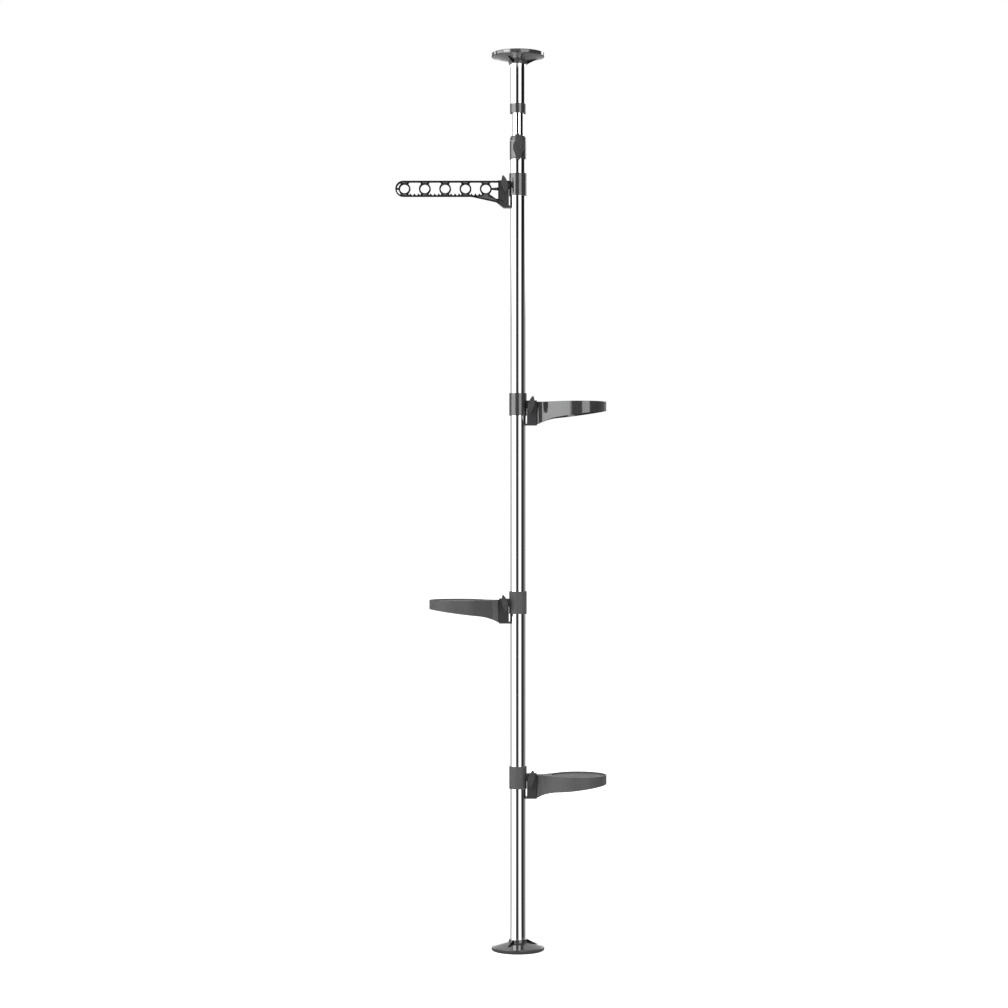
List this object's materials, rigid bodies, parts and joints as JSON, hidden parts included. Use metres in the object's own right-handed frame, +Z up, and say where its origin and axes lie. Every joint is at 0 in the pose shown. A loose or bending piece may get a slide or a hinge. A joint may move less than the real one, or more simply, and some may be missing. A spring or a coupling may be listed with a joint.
{
  "type": "tension pole plant stand",
  "caption": "Floor-to-ceiling tension pole with folding, swivelling plant trays and a hanging bar with rings, each clamped at any height by a wing knob.",
  "frame": {"origin": "middle of the pole at the floor, on the underside of the floor pad", "axes": "+Z up along the pole, +X to the side that the upper and lower trays point to, -Y to the side with the wing knobs"},
  "size_m": [0.429, 0.114, 1.82],
  "materials": {
    "tube": "polished",
    "plastic": "semi-gloss",
    "knob_plastic": "semi-gloss",
    "rubber": "matte",
    "nylon": "matte",
    "zinc_steel": "satin",
    "brass": "satin"
  },
  "bodies": {
    "pole": {"floor_pad": "rubber", "floor_disc": "plastic", "floor_screw": "zinc_steel", "floor_plug": "nylon", "main_tube": "tube", "lock_body": "plastic", "lock_insert": "brass", "lock_shoe": "nylon"},
    "lock_handle": {"lock_screw": "zinc_steel", "lock_knob": "knob_plastic"},
    "mast": {"inner_tube": "tube", "inner_guide": "nylon", "jack_nut": "nylon"},
    "ceiling_foot": {"ceiling_disc": "plastic", "ceiling_pad": "rubber", "ceiling_screw": "zinc_steel"},
    "jack": {"jack_tube": "tube", "end_sleeve": "plastic", "jack_plug": "nylon", "jack_screw": "zinc_steel"},
    "hook_carriage": {"hook_liner": "nylon"},
    "hook_swivel": {"hook_collar": "plastic"},
    "hook_support": {"hook_arm": "plastic", "hook_bolt": "zinc_steel", "hook_washer": "zinc_steel"},
    "hook_handle": {"hook_knob": "knob_plastic", "hook_insert": "brass"},
    "upper_carriage": {"upper_liner": "nylon"},
    "upper_swivel": {"upper_collar": "plastic"},
    "upper_support": {"upper_tray": "plastic", "upper_bolt": "zinc_steel", "upper_washer": "zinc_steel"},
    "upper_handle": {"upper_knob": "knob_plastic", "upper_insert": "brass"},
    "middle_carriage": {"middle_liner": "nylon"},
    "middle_swivel": {"middle_collar": "plastic"},
    "middle_support": {"middle_tray": "plastic", "middle_bolt": "zinc_steel", "middle_washer": "zinc_steel"},
    "middle_handle": {"middle_knob": "knob_plastic", "middle_insert": "brass"},
    "lower_carriage": {"lower_liner": "nylon"},
    "lower_swivel": {"lower_collar": "plastic"},
    "lower_support": {"lower_tray": "plastic", "lower_bolt": "zinc_steel", "lower_washer": "zinc_steel"},
    "lower_handle": {"lower_knob": "knob_plastic", "lower_insert": "brass"}
  },
  "joints": [
    {"name": "mast_height", "type": "slide", "parent": "pole", "child": "mast", "axis": [0, 0, 1], "range_m": [-0.025, 1.05]},
    {"name": "foot_lift", "type": "slide", "parent": "mast", "child": "ceiling_foot", "axis": [0, 0, 1], "range_m": [-0.0151, 0.0401]},
    {"name": "jack_turn", "type": "hinge", "parent": "ceiling_foot", "child": "jack", "pos_m": [0, 0, 1.75], "axis": [0, 0, 1], "range_deg": [-1080, 2880]},
    {"name": "lock_turn", "type": "hinge", "parent": "pole", "child": "lock_handle", "pos_m": [0, -0.025, 1.626], "axis": [0, -1, 0], "range_deg": [0, 720]},
    {"name": "hook_height", "type": "slide", "parent": "pole", "child": "hook_carriage", "axis": [0, 0, 1], "range_m": [-0.11, 0.015]},
    {"name": "hook_swing", "type": "hinge", "parent": "hook_carriage", "child": "hook_swivel", "pos_m": [0, 0, 1.553], "axis": [0, 0, 1], "continuous": true},
    {"name": "hook_fold", "type": "hinge", "parent": "hook_swivel", "child": "hook_support", "pos_m": [-0.027, 0, 1.553], "axis": [0, 1, 0], "range_deg": [0, 60]},
    {"name": "hook_tighten", "type": "hinge", "parent": "hook_support", "child": "hook_handle", "pos_m": [-0.027, -0.02, 1.553], "axis": [0, -1, 0], "range_deg": [0, 720]},
    {"name": "upper_height", "type": "slide", "parent": "pole", "child": "upper_carriage", "axis": [0, 0, 1], "range_m": [-0.09, 0.12]},
    {"name": "upper_swing", "type": "hinge", "parent": "upper_carriage", "child": "upper_swivel", "pos_m": [0, 0, 1.107], "axis": [0, 0, 1], "continuous": true},
    {"name": "upper_fold", "type": "hinge", "parent": "upper_swivel", "child": "upper_support", "pos_m": [0.027, 0, 1.107], "axis": [0, -1, 0], "range_deg": [0, 90]},
    {"name": "upper_tighten", "type": "hinge", "parent": "upper_support", "child": "upper_handle", "pos_m": [0.027, -0.02, 1.107], "axis": [0, -1, 0], "range_deg": [0, 720]},
    {"name": "middle_height", "type": "slide", "parent": "pole", "child": "middle_carriage", "axis": [0, 0, 1], "range_m": [-0.07, 0.1]},
    {"name": "middle_swing", "type": "hinge", "parent": "middle_carriage", "child": "middle_swivel", "pos_m": [0, 0, 0.705], "axis": [0, 0, 1], "continuous": true},
    {"name": "middle_fold", "type": "hinge", "parent": "middle_swivel", "child": "middle_support", "pos_m": [-0.027, 0, 0.705], "axis": [0, 1, 0], "range_deg": [0, 90]},
    {"name": "middle_tighten", "type": "hinge", "parent": "middle_support", "child": "middle_handle", "pos_m": [-0.027, -0.02, 0.705], "axis": [0, -1, 0], "range_deg": [0, 720]},
    {"name": "lower_height", "type": "slide", "parent": "pole", "child": "lower_carriage", "axis": [0, 0, 1], "range_m": [-0.25, 0.07]},
    {"name": "lower_swing", "type": "hinge", "parent": "lower_carriage", "child": "lower_swivel", "pos_m": [0, 0, 0.35], "axis": [0, 0, 1], "continuous": true},
    {"name": "lower_fold", "type": "hinge", "parent": "lower_swivel", "child": "lower_support", "pos_m": [0.027, 0, 0.35], "axis": [0, -1, 0], "range_deg": [0, 90]},
    {"name": "lower_tighten", "type": "hinge", "parent": "lower_support", "child": "lower_handle", "pos_m": [0.027, -0.02, 0.35], "axis": [0, -1, 0], "range_deg": [0, 720]}
  ],
  "couplings": [
    {"joint": "foot_lift", "follows": "jack_turn", "m_per_rad": 0.00079577}
  ]
}
